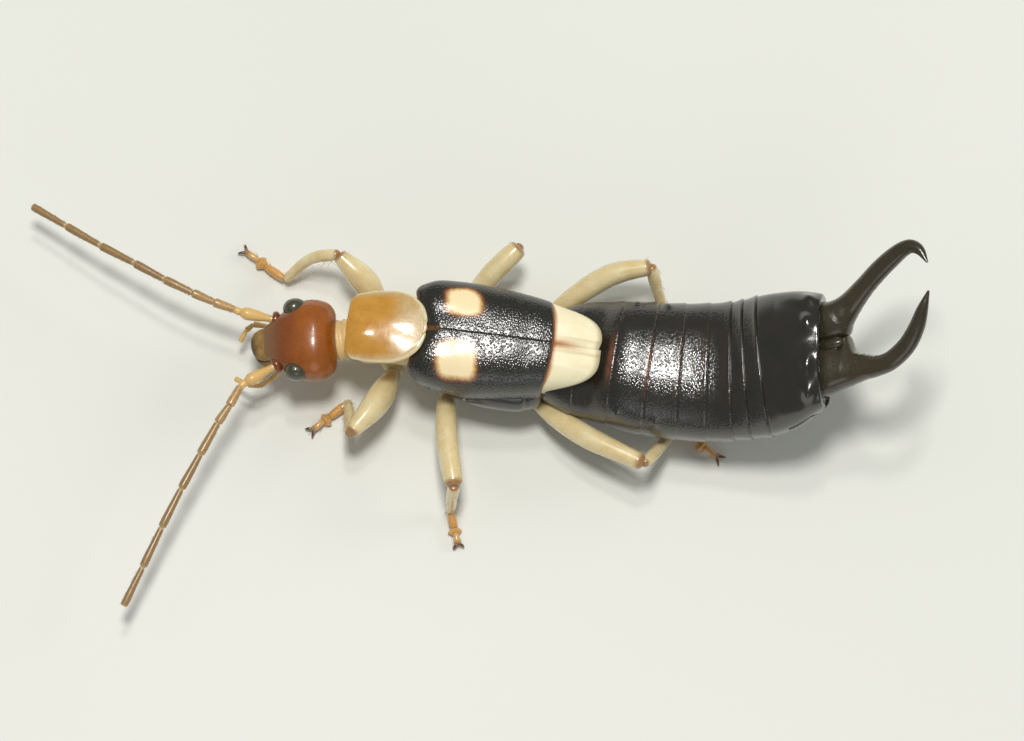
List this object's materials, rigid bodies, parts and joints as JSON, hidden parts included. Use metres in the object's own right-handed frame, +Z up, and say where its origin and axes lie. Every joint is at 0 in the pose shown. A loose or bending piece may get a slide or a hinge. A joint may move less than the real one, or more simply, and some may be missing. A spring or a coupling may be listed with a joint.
{
  "type": "earwig",
  "caption": "Still, life-size model of a small earwig standing on six legs, with short wing cases, folded wing tips, a bent-up abdomen and raised curved forceps.",
  "frame": {"origin": "on the floor, under the middle of the box round the whole animal", "axes": "+X from the head to the tail, +Y to the animal's right, +Z up from the floor through its back"},
  "size_m": [0.0242, 0.0116, 0.0059],
  "materials": {
    "head_cuticle": "smooth, shiny reddish brown",
    "mouth_cuticle": "thin, greyish brown, slightly see-through",
    "eye_surface": "faceted greenish black",
    "feeler_cuticle": "brown rings with pale joints, fine down",
    "feeler_base_cuticle": "yellow orange",
    "shield_cuticle": "honey orange with pale clear margins",
    "wing_case_cuticle": "black, finely pitted, with cream spots",
    "wing_membrane": "ivory with grey rims",
    "body_cuticle": "glossy black brown, finely pitted",
    "forceps_cuticle": "glossy black brown",
    "leg_cuticle": "straw yellow, slightly see-through"
  },
  "bodies": {
    "root": {"abdomen_front": "body_cuticle", "abdomen_rear": "body_cuticle", "abdomen_tip": "body_cuticle", "coxa_front_left": "leg_cuticle", "coxa_front_right": "leg_cuticle", "coxa_hind_left": "leg_cuticle", "coxa_hind_right": "leg_cuticle", "coxa_middle_left": "leg_cuticle", "coxa_middle_right": "leg_cuticle", "eye_left": "eye_surface", "eye_right": "eye_surface", "feeler_left": "feeler_cuticle", "feeler_right": "feeler_cuticle", "femur_front_left": "leg_cuticle", "femur_front_right": "leg_cuticle", "femur_hind_left": "leg_cuticle", "femur_hind_right": "leg_cuticle", "femur_middle_left": "leg_cuticle", "femur_middle_right": "leg_cuticle", "forceps_left": "forceps_cuticle", "forceps_right": "forceps_cuticle", "head": "head_cuticle", "mouthparts": "mouth_cuticle", "neck": "shield_cuticle", "palp_left": "feeler_base_cuticle", "palp_right": "feeler_base_cuticle", "pronotum": "shield_cuticle", "prothorax": "shield_cuticle", "pygidium": "forceps_cuticle", "scape_left": "feeler_base_cuticle", "scape_right": "feeler_base_cuticle", "tarsus_front_left": "leg_cuticle", "tarsus_front_right": "leg_cuticle", "tarsus_hind_left": "leg_cuticle", "tarsus_hind_right": "leg_cuticle", "tarsus_middle_left": "leg_cuticle", "tarsus_middle_right": "leg_cuticle", "thorax": "body_cuticle", "tibia_front_left": "leg_cuticle", "tibia_front_right": "leg_cuticle", "tibia_hind_left": "leg_cuticle", "tibia_hind_right": "leg_cuticle", "tibia_middle_left": "leg_cuticle", "tibia_middle_right": "leg_cuticle", "wing_case_left": "wing_case_cuticle", "wing_case_right": "wing_case_cuticle", "wing_left": "wing_membrane", "wing_right": "wing_membrane"}
  },
  "joints": []
}
